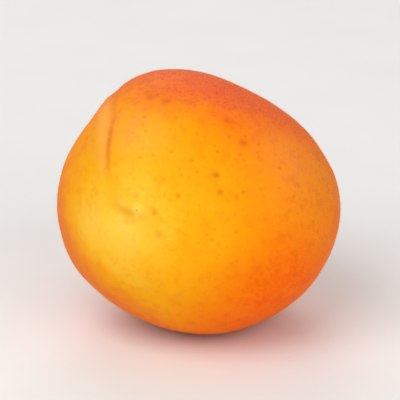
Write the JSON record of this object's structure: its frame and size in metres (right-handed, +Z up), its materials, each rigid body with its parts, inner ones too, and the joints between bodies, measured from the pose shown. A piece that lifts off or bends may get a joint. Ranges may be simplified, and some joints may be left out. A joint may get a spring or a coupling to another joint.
{
  "type": "apricot",
  "caption": "Ripe apricot, picked, lying on its side: two cheeks parted by a suture that runs from a funnel-shaped stem hollow to a small point at the tip.",
  "frame": {"origin": "on the surface that carries the fruit, under the middle of its bounding box", "axes": "+Z up, square to the flat spot that the fruit rests on; the tip looks towards -Y and about 14 degrees up; the stem hollow faces +Y"},
  "size_m": [0.051, 0.05, 0.0464],
  "materials": {
    "skin": "matte"
  },
  "bodies": {
    "root": {"apricot": "skin"}
  },
  "joints": []
}
